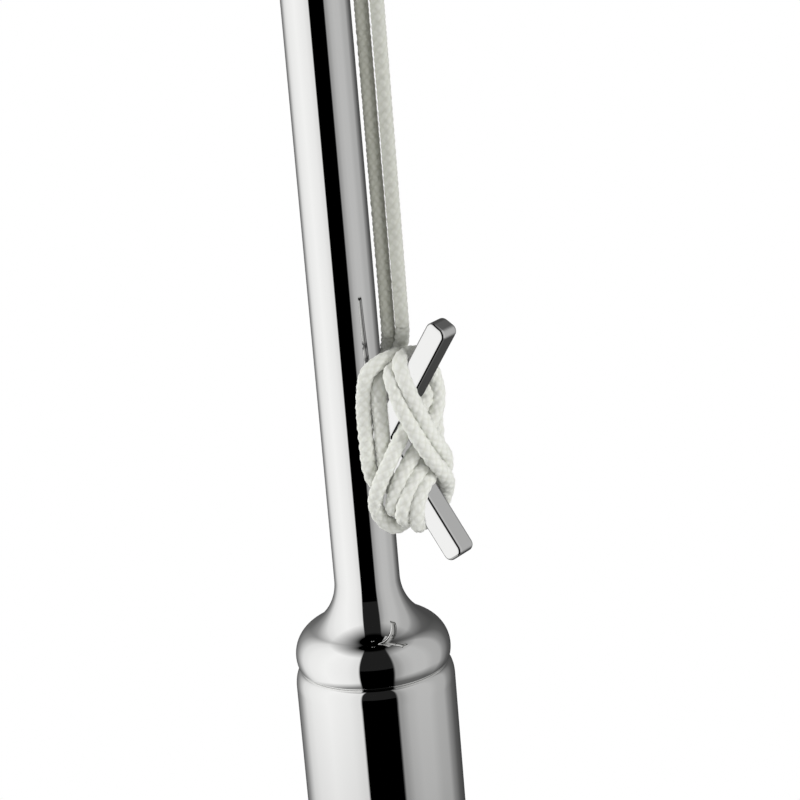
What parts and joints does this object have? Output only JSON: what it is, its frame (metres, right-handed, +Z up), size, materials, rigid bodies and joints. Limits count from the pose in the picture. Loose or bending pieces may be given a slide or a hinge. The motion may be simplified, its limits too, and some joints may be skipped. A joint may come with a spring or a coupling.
{
  "type": "table flagpole",
  "caption": "Polished table flagpole on a weighted foot, with a turned collar, a V-shaped cleat and a doubled white halyard belayed on it.",
  "frame": {"origin": "centre of the underside, on the table", "axes": "+Z up along the pole, +X out from the pole through the cleat"},
  "size_m": [0.096, 0.096, 0.423],
  "materials": {
    "felt": "matte",
    "steel": "polished",
    "cord": "matte"
  },
  "bodies": {
    "root": {"felt_pad": "felt", "foot": "steel", "column": "steel", "pole": "steel", "cleat": "steel", "truck": "steel", "halyard_pin": "steel", "finial": "steel", "halyard_runs": "cord", "halyard_turns_inner": "cord", "halyard_turns_outer": "cord"}
  },
  "joints": []
}
